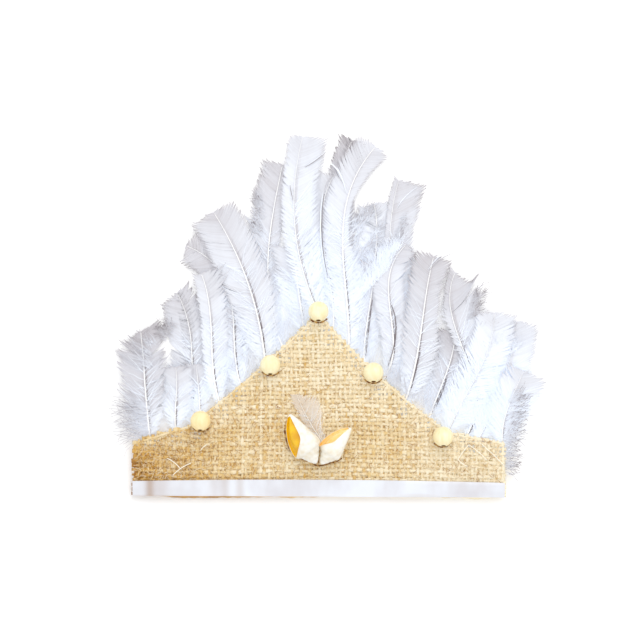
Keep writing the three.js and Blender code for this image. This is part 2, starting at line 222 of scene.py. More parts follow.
# Closed tapering strands, gathered to be one mesh
class Strands:
    def __init__(self):
        self.points, self.faces, self.tones, self.kinds, self.smooth = [], [], [], [], []
        self.count = 0

    # paths holds one strand a row: strands, sections, xyz
    def lay(self, paths, widths, heights, tones, sides=3, kind=0):
        paths = np.asarray(paths, float)
        strands, sections = shape = paths.shape[:2]
        widths, heights, tones = (np.broadcast_to(value, shape) for value in (widths, heights, tones))
        ahead = np.gradient(paths, axis=1)
        ahead /= np.maximum(np.linalg.norm(ahead, axis=2, keepdims=True), 1e-9)
        across = np.cross(ahead, up)
        across /= np.maximum(np.linalg.norm(across, axis=2, keepdims=True), 1e-9)
        rise = np.cross(across, ahead)
        angles = (-math.pi / 2 if sides == 3 else math.pi / 2) - np.arange(sides) * 2 * math.pi / sides
        ring = (
            across[:, :, None] * (np.cos(angles)[:, None] * widths[:, :, None, None] / 2)
            + rise[:, :, None] * (np.sin(angles)[:, None] * heights[:, :, None, None] / 2)
        )
        points = paths[:, :, None] + ring
        k = np.arange(sides)
        nextK = (k + 1) % sides
        row = np.arange(sections - 1)[:, None] * sides
        a, b, c, d = row + k, row + nextK, row + sides + nextK, row + sides + k
        walls = np.concatenate([np.stack([a, d, b], -1), np.stack([b, d, c], -1)]).reshape(-1, 3)
        last = (sections - 1) * sides
        fan = np.arange(1, sides - 1)
        caps = np.concatenate([
            np.stack([np.zeros_like(fan), fan, fan + 1], -1),
            np.stack([np.full_like(fan, last), last + fan + 1, last + fan], -1),
        ])
        faces = np.concatenate([walls, caps])
        starts = self.count + np.arange(strands) * sections * sides
        self.faces.append((starts[:, None, None] + faces[None]).reshape(-1, 3))
        self.points.append(points.reshape(-1, 3))
        self.tones.append(np.repeat(tones.reshape(-1), sides))
        self.kinds.append(np.full(strands * len(faces), kind))
        self.smooth.append(np.full(strands * len(faces), sides > 3))
        self.count += points.shape[0] * sections * sides

    def mesh(self, name):
        parts = (self.points, self.faces, self.tones, self.kinds, self.smooth)
        return meshOf(name, *(np.concatenate(part) for part in parts))


def surfaceOf(name):
    mesh = frame["nodes"][name].data
    return BVHTree.FromPolygons([v.co for v in mesh.vertices], [p.vertices[:] for p in mesh.polygons])


def topOf(tree, x, y):
    hit = tree.ray_cast(Vector((x * mm, y * mm, 0.1)), Vector((0, 0, -1)))[0]
    if hit is None:
        hit = tree.find_nearest(Vector((x * mm, y * mm, 0.005)))[0]
    return hit.z / mm


def topsOf(tree, points):
    return np.array([topOf(tree, x, y) for x, y in points])


# Adds heights to places
def raised(places, heights):
    return np.concatenate([places, heights[..., None]], -1)


# A curve through three points, the second one half way
def curveThrough(points, u):
    a, b, c = (np.array(point) for point in points)
    return np.outer((1 - u) ** 2, a) + np.outer(2 * u * (1 - u), 2 * b - (a + c) / 2) + np.outer(u ** 2, c)


def ramp(values, start, run):
    return np.clip((values - start) / run, 0, 1)


def within(value):
    return min(1, max(0, value))


# A smooth random line: a few waves of random length and start
def wander(values, shortest, longest, size):
    total = np.zeros_like(values)
    for _ in range(4):
        total += np.sin(values * 2 * math.pi / rng.uniform(shortest, longest) + rng.uniform(0, 2 * math.pi))
    return total * size / 2


def settle(piece, slot, node, *materials):
    for material in materials:
        piece.data.materials.append(material)
    if node:
        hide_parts(node)
    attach(piece, "root")
    return piece


def deselect():
    bpy.ops.object.select_all(action="DESELECT")


def mode(name):
    bpy.ops.object.mode_set(mode=name)


def pick(action):
    bpy.ops.mesh.select_all(action=action)


def named(name):
    piece = bpy.context.object
    piece.name = piece.data.name = name
    return piece


# Gives a flat mesh its wall, to one side or about its middle
def thicken(piece, wall, offset):
    solid = piece.modifiers.new("wall", "SOLIDIFY")
    solid.thickness = wall * mm
    solid.offset = offset
    bpy.ops.object.modifier_apply(modifier="wall")
    bpy.ops.object.shade_smooth_by_angle(angle=math.radians(50))
    return piece


# Outline of the peaked panels

panel = {
    "halfWidth": 111.5,
    "peakRise": 110.7,
    "shoulderAcross": 78,
    "shoulderRise": (43.5, 39.6),
    "sag": (2.4, 4.2),
    "endRise": 33.3,
    "bandRise": 12,
}


def edgeRise(x):
    across = np.abs(x)
    shoulder = np.where(x < 0, *panel["shoulderRise"])
    sag = np.where(x < 0, *panel["sag"])
    share = np.clip(across / panel["shoulderAcross"], 0, 1)
    inner = panel["peakRise"] + (shoulder - panel["peakRise"]) * share - 4 * sag * share * (1 - share)
    outer = (across - panel["shoulderAcross"]) / (panel["halfWidth"] - panel["shoulderAcross"])
    return np.where(across < panel["shoulderAcross"], inner, shoulder + (panel["endRise"] - shoulder) * outer)


# A place on the panels, from shares of their half width and their peak
def onPanel(shares):
    return np.array(shares) * [panel["halfWidth"], panel["peakRise"]] - [0, panel["bandRise"]]


# Sacking, woven yarn by yarn

sacking = {
    "shift": (0, 0),
    "drop": 0,
    "sections": 3,
    "sides": 6,
    "frayed": 1,
    "warpPitch": 2.655,
    "weftPitch": 2.76,
    "yarnWidth": 2,
    "yarnHeight": 0.44,
    "wave": 0.24,
    "slub": 0.32,
    "stray": 0.38,
    "pull": 1.1,
    "weftWider": 0.2,
    "wall": 0.6,
    "edgeInset": 1.1,
    "edgeSections": 260,
    "yarnTone": 0.1,
    "toneWander": 0.12,
    "toneGrain": 0.07,
    "warpDarker": 0.1,
    "fibreTurn": 0.35,
    "pale": linear(240, 228, 200),
    "gold": linear(222, 196, 144),
    "deep": linear(208, 164, 84),
    "burnt": linear(150, 98, 34),
    # painted glow: emission that stands in for light coming through the weave
    "paintedGlow": 0.02,
}
# Backing: paler than the front and glowing more, painted light that lifts the shade seen through the front's
# holes
backing = {
    **sacking,
    "shift": (0.9, -0.9),
    "drop": 1.5,
    "sections": 2,
    "sides": 4,
    "frayed": 0.6,
    "wall": 0.35,
    "yarnWidth": 1.9,
    "slub": 0.2,
    "edgeInset": 0.6,
    "pale": linear(244, 232, 200),
    "gold": linear(236, 212, 156),
    "deep": linear(214, 172, 104),
    "paintedGlow": 0.2,
}


def sackingPaint(name, colours, turn):
    paint = Paint(name)
    fibres = paint.noise(2600, (1, 0.12, 1), turn)
    blotches = paint.noise(42)
    tone = paint.attribute("tone") + (fibres - 0.5) * 0.5 + (blotches - 0.5) * 0.35
    dark = paint.mix(paint.band(tone, -0.7, 0), colours["burnt"], colours["deep"])
    shade = paint.mix(paint.band(tone, 0, 0.5), dark, colours["gold"])
    colour = paint.mix(paint.band(tone, 0.4, 0.9), shade, colours["pale"])
    # painted glow: an emission that stands in for light coming through the weave
    light = {"Emission Color": colour, "Emission Strength": colours["paintedGlow"]}
    bump = paint.bump(fibres, 0.6, 0.0002)
    return paint.finish(colour, 0.88, {"Normal": bump, "Sheen Weight": 0.15, **light})


# Paints for the warp and the weft of a cloth, whose fibres run crosswise
def clothPaints(name, cloth):
    turn = sacking["fibreTurn"]
    return sackingPaint(name + "_warp", cloth, turn), sackingPaint(name + "_weft", cloth, turn + math.pi / 2)


# Lays a panel's warp, its weft, then one yarn along its peaked edge
def weave(name, node, cloth):
    strands = Strands()
    tree = surfaceOf(node)
    halfWidth, low, drop = panel["halfWidth"], -panel["bandRise"], cloth["drop"]
    warpPitch, weftPitch = sacking["warpPitch"], sacking["weftPitch"]
    warpCount = int(2 * halfWidth / warpPitch)
    weftCount = int((panel["peakRise"] - drop) / weftPitch)
    spacing = 2 * halfWidth / warpCount

    def fray():
        return rng.uniform(-0.3, cloth["frayed"])

    def yarn(along, across, level, isWarp):
        points = np.stack([across, along] if isWarp else [along, across], -1)
        points = points + pullOf(points) + cloth["shift"]
        z = topsOf(tree, points) - cloth["wall"] + cloth["wave"] * level
        thick = 1 + wander(along, 5, 24, cloth["slub"])
        tone = warmthAt(*points.T) + rng.normal(0, sacking["yarnTone"])
        tone = tone + wander(along, 4, 30, sacking["toneWander"])
        tone = tone + rng.normal(0, sacking["toneGrain"], len(along)) - sacking["warpDarker"] * isWarp
        width = cloth["yarnWidth"] + sacking["weftWider"] * (-1 if isWarp else 1)
        height = cloth["yarnHeight"] * thick
        strands.lay(raised(points, z)[None], width * thick, height, tone, cloth["sides"], 0 if isWarp else 1)

    for i in range(warpCount):
        x = -halfWidth + (i + 0.5) * 2 * halfWidth / warpCount
        top = float(edgeRise(x)) - drop + low + fray()
        along = np.linspace(low + 1.8, top, max(4, int((top - low) / weftPitch * cloth["sections"])))
        across = x + wander(along, 12, 60, sacking["stray"])
        level = np.sin(math.pi * (along - low) / weftPitch + math.pi * i)
        yarn(along, across, level, True)
    fine = np.linspace(-halfWidth, halfWidth, 1200)
    rises = edgeRise(fine) - drop
    for j in range(weftCount):
        rise = (j + 0.75) * weftPitch
        inside = fine[rises >= rise]
        if len(inside) < 12:
            continue
        start, end = inside[0] - fray(), inside[-1] + fray()
        along = np.linspace(start, end, max(4, int((end - start) / warpPitch * cloth["sections"])))
        across = low + rise + wander(along, 20, 90, sacking["stray"])
        level = -np.sin(math.pi * (along + halfWidth) / spacing + math.pi * j)
        yarn(along, across, level, False)
    along = np.linspace(-halfWidth, halfWidth, sacking["edgeSections"])
    across = edgeRise(along) - drop + low - cloth["edgeInset"] + wander(along, 3, 14, 0.14)
    points = np.stack([along, across], 1) + cloth["shift"]
    z = topsOf(tree, points) - cloth["wall"] + 0.2 + wander(along, 3, 8, 0.12)
    tone = warmthAt(*points.T) + wander(along, 3, 20, 0.14)
    width, height = 0.7 * cloth["yarnWidth"], 0.8 * cloth["yarnHeight"]
    strands.lay(raised(points, z)[None], width, height, tone, cloth["sides"], 1)
    print(name, "woven,", warpCount, "by", weftCount, "yarns")
    return strands.mesh(name)


# How far the cloth is pulled out of square at a place
def pullOf(points):
    x, y = points.T
    fade = np.clip((panel["halfWidth"] - np.abs(x)) / 20, 0, 1)
    aside = 0.6 * np.sin(y / 19 + x / 60) * fade
    ahead = np.sin(x / 23 + 0.6) * 0.5 + np.sin(x / 9.5 - y / 40) * 0.22
    return np.stack([aside, ahead], 1) * sacking["pull"]


# How pale the yarn is: golden at the left end and along the brow, pale in the middle and at the right end
def warmthAt(x, y):
    left, right = ramp(-x, 30, 75), ramp(x, 50, 50)
    low, high = ramp(-y, -4, 20), ramp(y, 42, 40)
    leftTop = left * ramp(y, 10, 12)
    corner = ramp(-x, 97, 14) * ramp(-y, -22, 12)
    brow = np.where(x < 0, 0.42 + 0.4 * np.exp(-((x + 60) / 25) ** 2), 0.12)
    middle = np.exp(-((x - 24) / 42) ** 2 - ((y - 54) / 18) ** 2)
    warmth = 0.62 - 0.48 * left + 0.8 * right + 0.2 * high + 0.2 * middle
    return warmth - brow * low + 0.36 * leftTop - 0.6 * corner


frontPanel = weave("sacking_front", "front_panel", sacking)
settle(frontPanel, "sacking", "front_panel", *clothPaints("sacking", sacking))

backPanel = weave("sacking_back", "back_panel", backing)
settle(backPanel, "backing", "back_panel", *clothPaints("backing", backing))

# Feathers

feather = {
    "reach": 120,
    "halfWidth": 12,
    "quillWidth": 1.25,
    "quillHeight": 1.1,
    "rootDepth": 15,
    "rootShare": 0.36,
    "slant": 0.7,
    "swayScale": 6 * math.sqrt(3),
    "barbPitch": 0.48,
    "barbWidth": 0.56,
    "barbHeight": 0.2,
    "fringe": 0.75,
    "tuft": 0.5,
    "downEnd": 0.5,
    "downFade": 0.25,
    "downEach": 3,
    "downWidth": 0.3,
    "downHeight": 0.18,
    "sink": 0.35,
    "lowest": 0.15,
    # painted shadow beside the quill on its left and its right side, heavier on the right
    "quillShadowLeft": 0.3,
    "quillShadowRight": 1.1,
    "white": linear(235, 240, 247),
    "light": linear(226, 231, 240),
    "shade": linear(194, 191, 196),
    "paintedShadow": linear(104, 90, 94),
    # painted glow: emission that lifts the shade among the barbs
    "paintedGlow": 0.12,
}
vaneStations = [0, 0.05, 0.12, 0.2, 0.29, 0.38, 0.48, 0.76, 0.84, 0.92, 1]
vaneWidths = [0.3, 0.5, 0.72, 0.84, 0.92, 0.97, 1, 1, 0.98, 0.96, 0.9]

# Along a barb, from quill to tip: where its sections are, how wide it is there, how much of the painted
# shadow beside the quill it takes on, and how far its rim darkens
barbShares = np.array([0, 0.1, 0.14, 0.36, 0.62, 0.82, 1])
barbTaper = np.array([0.9, 1, 1.05, 1.1, 1.05, 0.85, 0.12])
barbPaintedShadow = np.array([1, 1, 0.2, 0, 0, 0, 0])
barbRim = np.array([0, 0, 0, 0, 0, 0.05, 0.75])

# One row a feather, from the lowest up: place on the edge, lean, reach, bow, sway, left and right half widths,
# cut of the tip, fan to the right, how open its vane is, how much down it has, how light it is, how thick
# its quill is
featherColumns = "across lean reach bow sway left right cut fan open down tone quill".split()
featherRows = [
    [-0.67, -8, 0.65, 0.05, -0.02, 1.12, 0.8, 0.3, 0, 0.5, 0.5, 0.5, 0.75],
    [-0.443, -8, 0.73, 0.01, 0, 0.75, 0.75, 0, 0, 0.3, 0.35, 0.5, 1],
    [0.07, 6.5, 0.95, -0.02, 0.03, 0.6, 0.8, 0, 0, 0.35, 0.4, 0.3, 1],
    [0.24, 4, 0.79, 0.02, -0.02, 0.95, 0.75, 0, 0, 0.9, 1.1, 0.9, 1],
    [0.36, 4, 1.015, -0.01, 0.02, 0.25, 1.75, 0, 0.3, 0.35, 0.5, 0.6, 0.6],
    [0.975, 12, 0.45, -0.02, 0.01, 0.8, 0.25, 0, 0, 0.6, 0.8, 0.6, 0.3],
    [-0.193, 0, 0.92, -0.08, -0.01, 1.1, 0.6, 0, 0.1, 0.4, 0.5, 0.5, 1],
    [-0.08, -8, 0.41, 0, 0, 1.1, 0.7, -0.2, 0, 0.4, 1, 0.75, 1],
    [0.08, 0, 0.77, -0.06, 0.03, 0.85, 0.85, 0, 0, 0.3, 0.8, 0.72, 1],
    [-0.42, -22, 0.75, 0.14, -0.05, 0.95, 0.95, 0, 0, 0.35, 0.6, 0.45, 0.8],
    [-0.637, -5, 0.26, 0.01, 0, 0.75, 0.7, 0, 0, 0.5, 1, 0.6, 0.7],
    [0.244, 6, 0.5, 0, -0.01, 0.75, 0.75, 0, 0, 0.4, 0.3, 0.7, 1],
    [0.597, 17, 0.45, 0.04, -0.01, 0.9, 0.9, 0, 0, 0.4, 0.5, 0.45, 1],
    [0.8, -4, 0.82, 0.02, 0.06, 0.3, 1.8, -0.4, 0.2, 0.7, 0.5, 0.5, 0.8],
    [0.867, 18, 0.61, 0.05, 0, 1.1, 1.1, 0, 0, 0.3, 1, 0.85, 0.35],
    [0, -5, 0.89, -0.09, 0, 0.65, 1.3, 0.15, 0, 0.08, 0.65, 0.8, 0.55],
    [0.162, 8, 1.01, -0.1, 0.028, 1.05, 1.05, 0, 0.72, 0.15, 0.7, 0.72, 1],
    [-0.287, -19, 0.8, 0.06, 0, 1.35, 1.2, 0, 0, 0.1, 0.35, 0.55, 1],
    [-0.535, -8, 0.65, 0.01, -0.02, 0.5, 0.9, 0, 0, 0.35, 0.5, 0.7, 1],
    [-0.77, 0, 0.31, 0.01, -0.01, 0.75, 0.85, 0, 0, 0.5, 0.6, 0.6, 0.7],
    [-0.909, -5, 0.53, 0, 0, 1.2, 1.1, 0.5, 0, 0.8, 0.35, 0.3, 1],
    [0.35, 10, 0.69, -0.04, 0.06, 0.75, 0.8, 0, 0, 0.25, 0.3, 0.6, 1],
    [0.471, 11, 0.73, 0.01, 0.01, 0.95, 1.15, -0.1, 0.35, 0.35, 0.3, 0.4, 1],
    [0.7, 21, 0.64, 0.05, -0.02, 1.1, 1.1, 0, 0, 0.25, 1, 0.92, 0.35],
    [0.988, 17, 0.37, -0.06, -0.01, 0.9, 1.3, 0, 0, 0.7, 1, 0.82, 0.5],
]


def featherPaint(name, light, shade, rough, alpha):
    paint = Paint(name)
    streaks = paint.noise(260, (1, 0.35, 1))
    clouds = paint.noise(60)
    tone = paint.attribute("tone") + (streaks - 0.5) * 0.2 + (clouds - 0.5) * 0.2
    # tones below 0 turn towards the painted shadow colour
    colour = paint.mix(paint.band(tone, -0.7, 0), feather["paintedShadow"], shade)
    colour = paint.mix(paint.band(tone, 0, 1), colour, light)
    colour = paint.mix(paint.band(tone, 1, 1.3), colour, feather["white"])
    # painted glow: emission that lifts the shade among the barbs, stronger the lighter the tone
    paintedGlow = paint.mix(paint.band(tone, -0.2, 1), (0, 0, 0, 1), (0.93, 0.97, 1, 1))
    light = {"Emission Color": paintedGlow, "Emission Strength": feather["paintedGlow"]}
    return paint.finish(colour, rough, {"Specular IOR Level": 0.3, "Alpha": alpha, **light})


# Spine of a feather at shares of its reach, below 0 along the straight root: places, headings, sides
def spineOf(row, foot, reach, shares):
    lean = math.radians(row["lean"])
    ahead = np.array([math.sin(lean), math.cos(lean)])
    side = np.array([ahead[1], -ahead[0]])
    s = np.maximum(shares, 0)
    bow, sway = 4 * row["bow"], feather["swayScale"] * row["sway"]
    off = bow * s * (1 - s) + sway * s * (1 - s) * (1 - 2 * s)
    turn = bow * (1 - 2 * s) + sway * (1 - 6 * s + 6 * s * s)
    heading = ahead + side * turn[:, None]
    heading /= np.linalg.norm(heading, axis=1, keepdims=True)
    places = foot + ahead * (s * reach)[:, None] + side * (off * reach)[:, None]
    places = places + heading * (np.minimum(shares, 0) * reach)[:, None]
    return places, heading, np.stack([heading[:, 1], -heading[:, 0]], 1)


# Splits a run of barbs into locks and gives each barb its lock's number and its place in it from -1 to 1
def locksOf(count, small, large):
    lock, spot = np.zeros(count, int), np.zeros(count)
    start, number = 0, 0
    while start < count:
        size = int(rng.integers(small, large))
        end = min(start + size, count)
        lock[start:end] = number
        spot[start:end] = np.linspace(-1, 1, end - start) if end - start > 1 else 0
        start, number = end, number + 1
    return lock, spot, number


# One side of a vane, hand being -1 on the left and 1 on the right
def layBarbs(strands, row, foot, sizes, levelAt, hand):
    reach, root, pitch, parted = sizes["reach"], sizes["root"], sizes["barbPitch"], row["open"]
    count = int((reach + root * 0.8) / pitch)
    s = np.linspace(-0.8 * root / reach, 0.99, count) + rng.normal(0, 0.15 * pitch / reach, count)
    soft = np.clip((feather["downEnd"] * row["down"] - s) / feather["downFade"] + 0.5, 0, 1)
    lock, spot, lockCount = locksOf(count, 4, int(12 + 30 * (1 - parted)))
    place, heading, side = spineOf(row, foot, reach, s)
    size = np.bincount(lock)[lock]

    # how far each barb reaches out: the vane's outline, then its ragged fringe
    full = row["left" if hand < 0 else "right"] * sizes["halfWidth"] * np.interp(s, vaneStations, vaneWidths)
    if hand > 0:
        full = full * (1 - row["fan"] * ramp(-s, -1, 0.3) * ramp(s, 0.3, 0.2))
    uneven = 1 + rng.normal(0, 0.01 + 0.05 * parted, lockCount)[lock]
    full = full * uneven * (1 + soft * rng.normal(0.04, 0.1, count))
    tip = (1 - s) * reach / (feather["slant"] - hand * row["cut"])
    wisp, wispSpot, wispCount = locksOf(count, 2, 9)
    ragged = np.clip(1 + wander(s * reach, 8, 40, 0.9), 0.2, 2.5)
    fringe = feather["fringe"] * (0.4 + 1.2 * parted) * ragged * rng.exponential(1, wispCount)[wisp]
    fringe = fringe * (1 - 0.8 * np.abs(wispSpot))
    full = np.maximum(np.minimum(full, tip), 0.4) + fringe + rng.exponential(0.15, count)

    # how far each barb points ahead: its slant, the turn of its lock, and the pull of lock and wisp
    splits = np.where(rng.uniform(0, 1, lockCount) < 0.15 + 0.5 * parted, 1, 0.15)
    lockTurn = (rng.normal(0, 0.04 + 0.12 * parted, lockCount) * splits)[lock]
    draw = (0.1 + 0.6 * parted) * pitch * (rng.uniform(0.2, 1, lockCount) * splits)[lock]
    bend = 0.25 + rng.normal(0, 0.02, lockCount)[lock]
    u = barbShares
    phase = rng.uniform(0, 2 * math.pi, (count, 1))
    ripple = soft[:, None] * 0.09 * np.sin(u * rng.uniform(4, 9, (count, 1)) + phase) * u
    turn = lockTurn + soft * rng.normal(0, 0.18, count)
    forward = feather["slant"] * u - bend[:, None] * u * (1 - u) + turn[:, None] * u ** 2 + ripple
    wispSize = np.bincount(wisp)[wisp]
    wispDraw = feather["tuft"] * pitch * rng.uniform(0, 1, wispCount)[wisp] * wispSize * wispSpot
    forward = full[:, None] * forward - (spot * draw * size / 2)[:, None] * u ** 3 - wispDraw[:, None] * u ** 5

    lift = rng.normal(0, 0.05, (count, 1)) + soft[:, None] * rng.normal(0.25, 0.25, (count, 1))
    lift = lift + rng.normal(0.05, 0.12, lockCount)[lock][:, None] * splits[lock][:, None]
    z = levelAt(s)[:, None] + lift * u ** 1.5 - 0.2 * (1 - u)
    xy = place[:, None] + side[:, None] * (hand * full[:, None] * u)[:, :, None]
    xy = xy + heading[:, None] * forward[:, :, None]

    # tones: lighter in the down, its own whiteness and painted light that lifts the shade among its strands;
    # darker towards the tip and at the rim; painted shadow beside the quill, heavier on its right
    tones = row["tone"] + rng.normal(0, 0.04, lockCount)[lock] + rng.normal(0, 0.05, count)
    tones = tones + (1 - 0.8 * row["tone"]) * soft - 0.4 * ramp(s, 0.6, 0.4)
    paintedShadow = barbPaintedShadow * np.clip(1.1 - s / 0.9, 0.1, 1)[:, None] * feather["quillShadowRight" if hand > 0 else "quillShadowLeft"]
    paintedShadow = paintedShadow * min(1, sizes["quillWidth"])
    outermost = hand * foot[0] > 0.85 * panel["halfWidth"]
    rim = np.interp(s, [0.5, 0.9], [0.3, 1]) * (1 if outermost else 1 - soft)
    tones = tones[:, None] * (1 - paintedShadow) - 0.7 * paintedShadow - barbRim * rim[:, None]
    taper = barbTaper * (1 - 0.1 * soft[:, None])
    paths = raised(xy, np.maximum(z, feather["lowest"]))
    strands.lay(paths, sizes["barbWidth"] * taper, feather["barbHeight"], tones)


# Loose down on both sides of the foot
def layDown(strands, row, foot, sizes, levelAt):
    reach, root = sizes["reach"], sizes["root"]
    count = int(reach * feather["downEach"] * row["down"])
    s = rng.uniform(-0.5 * root / reach, 0.12 + feather["downEnd"], count)
    hand = rng.choice([-1, 1], count)
    place, heading, side = spineOf(row, foot, reach, s)
    width = np.where(hand < 0, row["left"], row["right"]) * sizes["halfWidth"]
    run = width * rng.uniform(0.5, 1.25, count) * np.interp(s, [-0.1, 0.1, 0.5], [0.8, 1, 0.7])
    u = np.linspace(0.05, 1, 5)
    slant = rng.uniform(0.2, 1.6, count)
    curl = rng.normal(0, 0.09, (count, 1)) * np.sin(u * math.pi * rng.uniform(1, 3, (count, 1)))
    forward = run[:, None] * (slant[:, None] * u + curl)
    rise = rng.uniform(-0.2, 1.5, (count, 1)) * np.sin(u * math.pi * 0.7)
    aside = (hand * run)[:, None] * (u + curl * 0.4)
    xy = place[:, None] + side[:, None] * aside[:, :, None] + heading[:, None] * forward[:, :, None]
    width = feather["downWidth"] * np.interp(u, [0, 0.3, 1], [0.8, 1, 0.3])
    tones = 1 + 0.25 * row["tone"] + rng.normal(0, 0.2, (count, 1))
    strands.lay(raised(xy, levelAt(s)[:, None] + rise), width, feather["downHeight"], tones)


def layQuill(strands, row, foot, sizes, levelAt):
    s = np.linspace(-sizes["root"] / sizes["reach"], 0.985, 44)
    place = spineOf(row, foot, sizes["reach"], s)[0]
    outward = np.clip(s, 0, 1)
    path = raised(place, levelAt(s) + 0.32 - 0.1 * outward)[None]
    height = feather["quillHeight"] * (1 - 0.6 * outward)
    strands.lay(path, sizes["quillWidth"] * (1 - 0.72 * outward), height, 1, 7, 1)


def plume(name, node, row, foot, sizes):
    strands = Strands()
    stations = np.linspace(-sizes["root"] / sizes["reach"], 0.97, 40)
    places, headings, sides = spineOf(row, foot, sizes["reach"], stations)
    levels = topsOf(surfaceOf(node), places + sides * 1.2 + headings * 0.3) - feather["sink"]

    def levelAt(shares):
        return np.interp(shares, stations, levels)

    for hand in (-1, 1):
        layBarbs(strands, row, foot, sizes, levelAt, hand)
    layDown(strands, row, foot, sizes, levelAt)
    layQuill(strands, row, foot, sizes, levelAt)
    return strands.mesh(name)


vanePaint = featherPaint("feather_vane", feather["light"], feather["shade"], 0.75, 1)
quillPaint = featherPaint("feather_quill", linear(246, 245, 243), linear(232, 228, 222), 0.4, 1)
for number, values in enumerate(featherRows, 1):
    row = dict(zip(featherColumns, values))
    x = row["across"] * panel["halfWidth"]
    rise = float(edgeRise(x))
    foot = np.array([x, rise - panel["bandRise"]])
    sizes = {
        **feather,
        "reach": row["reach"] * feather["reach"],
        "root": min(feather["rootDepth"], feather["rootShare"] * rise),
        "quillWidth": feather["quillWidth"] * row["quill"],
    }
    node = "feather_%02d" % number
    settle(plume("plume_%02d" % number, node, row, foot, sizes), "feather", node, vanePaint, quillPaint)
print("feathers laid,", len(featherRows))

# Tufts of down, and streaks painted along folds, splits and quills: dark streaks are painted shadow, light ones
# painted highlight. A tuft: the line its strands start from, their heading clockwise from Y, spread, length,
# how many, tone, how dark they end, the feather they lie on. A streak: start, middle, end, width, tone,
# feather.

tuft = {"width": 0.34, "height": 0.2, "wave": 0.3, "streakHeight": 0.3}
tuftRows = [
    [(-101, 24), (-102, 44), -84, 24, 26, 170, 0.6, 0.9, 21],
    [(-92, 82), (-86, 92), -55, 20, 12, 50, 0.2, 0.9, 21],
    [(112, 22), (116, 50), 72, 36, 15, 200, 0.7, 1.3, 25],
    [(112.5, 24), (112.5, 4), 92, 36, 11, 110, 0.5, 1.2, 25],
    [(22.5, 128), (36, 150), 45, 26, 12, 120, 0.85, 0.9, 4],
    [(19, 124), (24, 156), 35, 22, 12, 90, 0.85, 0.5, 4],
    [(20, 148), (31, 156), 18, 24, 15, 110, 0.7, 0.9, 4],
    [(-102, 65), (-101, 68), -57, 6, 27, 18, 0.6, 0.9, 21],
    [(-102, 72), (-101, 75), -50, 6, 23, 18, 0.6, 0.9, 21],
    [(-101, 78), (-100, 81), -44, 6, 14, 16, 0.6, 0.9, 21],
    [(22, 106), (42, 128), 0, 40, 18, 260, 1.1, 0.1, 22],
    [(36, 128), (48, 138), 10, 36, 13, 120, 1.1, 0.1, 22],
    [(44, 136), (50, 157), 60, 24, 9, 90, 0.55, 0.9, 5],
    [(-34, 145), (-34, 168), -50, 24, 10, 90, 0.4, 0.9, 7],
    [(90, 95), (94, 110), 50, 24, 14, 100, 0.3, 0.9, 14],
    [(95, 90), (112, 88), 24, 30, 10, 130, 0.8, 0.8, 15],
    [(86, 34), (106, 31), 12, 50, 26, 260, 1.15, 0.1, 15],
    [(88, 50), (112, 55), 8, 60, 22, 300, 1.15, 0.1, 15],
    [(91, 76), (118, 76), 15, 44, 14, 180, 1.05, 0.4, 15],
    [(-60, 46), (-36, 66), -10, 40, 22, 120, 0.75, 0.2, 18],
    [(-30, 72), (-8, 92), -6, 40, 22, 140, 0.9, 0.2, 8],
    [(10, 90), (34, 66), 4, 40, 22, 130, 0.9, 0.2, 12],
    [(40, 60), (70, 38), 10, 40, 20, 110, 0.6, 0.2, 23],
]
paintedStreakRows = [
    [(-8.1, 186.3), (-2, 190), (4.5, 195.3), 0.5, -0.3, 16],
    [(-7.6, 187.2), (-1.6, 191), (4.9, 196.4), 0.45, 1.3, 16],
    [(-17.1, 175.5), (-16.4, 171), (-15.3, 166.5), 0.5, -0.3, 16],
    [(66, 125), (73, 133), (82, 136.5), 0.6, 1.2, 23],
    [(66.6, 124), (74, 131.4), (82.4, 134.8), 0.35, -0.2, 23],
    [(47.4, 162), (52, 168.5), (59, 174.3), 0.6, 1.2, 5],
    [(93.6, 97.5), (96.6, 91), (97.5, 83.7), 0.6, 1.2, 15],
    [(5.7, 189.3), (12.3, 183.3), (16.5, 171.3), 1.1, 1.3, 17],
    [(10.9, 181.5), (5.1, 177.3), (2.7, 165.3), 0.5, 0.1, 17],
    [(32.4, 106.5), (30.2, 89.7), (28.4, 73), 0.7, -0.6, 12],
    [(43.8, 103.5), (46.5, 87.3), (41.7, 66.9), 0.8, -0.6, 22],
    [(60.9, 75.3), (58.2, 64.5), (55.8, 53.7), 0.8, -0.6, 23],
    [(77.4, 60), (74, 50), (70.5, 42), 0.8, -0.6, 13],
    [(2.7, 171.3), (1.2, 145.5), (5.1, 118.5), 0.9, 1.3, 16],
    [(3.4, 170), (2, 145.5), (5.8, 119.5), 0.5, -0.6, 16],
]


